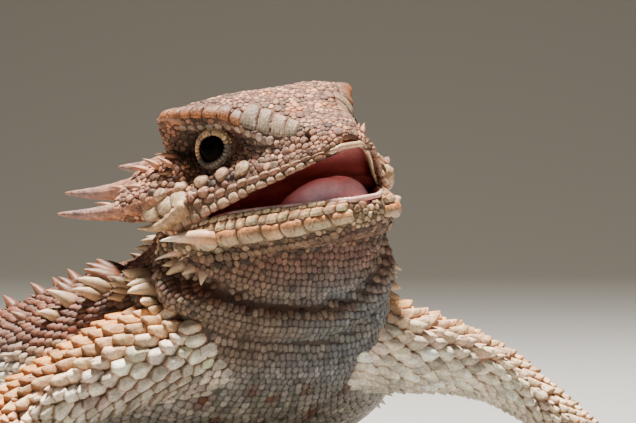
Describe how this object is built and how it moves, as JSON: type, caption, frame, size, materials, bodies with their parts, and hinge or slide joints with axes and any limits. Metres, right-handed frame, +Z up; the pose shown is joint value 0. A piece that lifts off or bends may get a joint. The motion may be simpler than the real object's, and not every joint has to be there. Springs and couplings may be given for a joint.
{
  "type": "horned lizard",
  "caption": "Still, life-size horned lizard with a flat round body, a short tail, splayed legs, a crown of horns and an open mouth, resting on its belly, hands and feet.",
  "frame": {"origin": "under the middle of the animal's bounding box, on the floor it stands on", "axes": "+Z up, -Y towards the nose, +Y towards the tail, -X towards the animal's right side"},
  "size_m": [0.1056, 0.1246, 0.0468],
  "materials": {
    "head_skin": "dry rough scales, pinkish brown",
    "jaw_skin": "cream and orange shields, slightly polished",
    "body_skin": "dry keeled scales, cream to reddish brown",
    "limb_skin": "dry keeled scales, cream and orange",
    "horn": "satin keratin, ridged",
    "tongue": "wet",
    "eye": "wet, glossy black"
  },
  "bodies": {
    "root": {"head": "head_skin", "lower_jaw": "jaw_skin", "tongue": "tongue", "eye_right": "eye", "eye_left": "eye", "horn_occipital_inner_right": "horn", "horn_occipital_outer_right": "horn", "horn_temporal_rear_right": "horn", "horn_temporal_middle_right": "horn", "horn_temporal_front_right": "horn", "horn_occipital_inner_left": "horn", "horn_occipital_outer_left": "horn", "horn_temporal_rear_left": "horn", "horn_temporal_middle_left": "horn", "horn_temporal_front_left": "horn", "neck": "body_skin", "torso": "body_skin", "tail": "body_skin", "upper_arm_right": "limb_skin", "forearm_right": "limb_skin", "hand_right": "limb_skin", "upper_arm_left": "limb_skin", "forearm_left": "limb_skin", "hand_left": "limb_skin", "thigh_right": "limb_skin", "shin_right": "limb_skin", "foot_right": "limb_skin", "thigh_left": "limb_skin", "shin_left": "limb_skin", "foot_left": "limb_skin"}
  },
  "joints": []
}
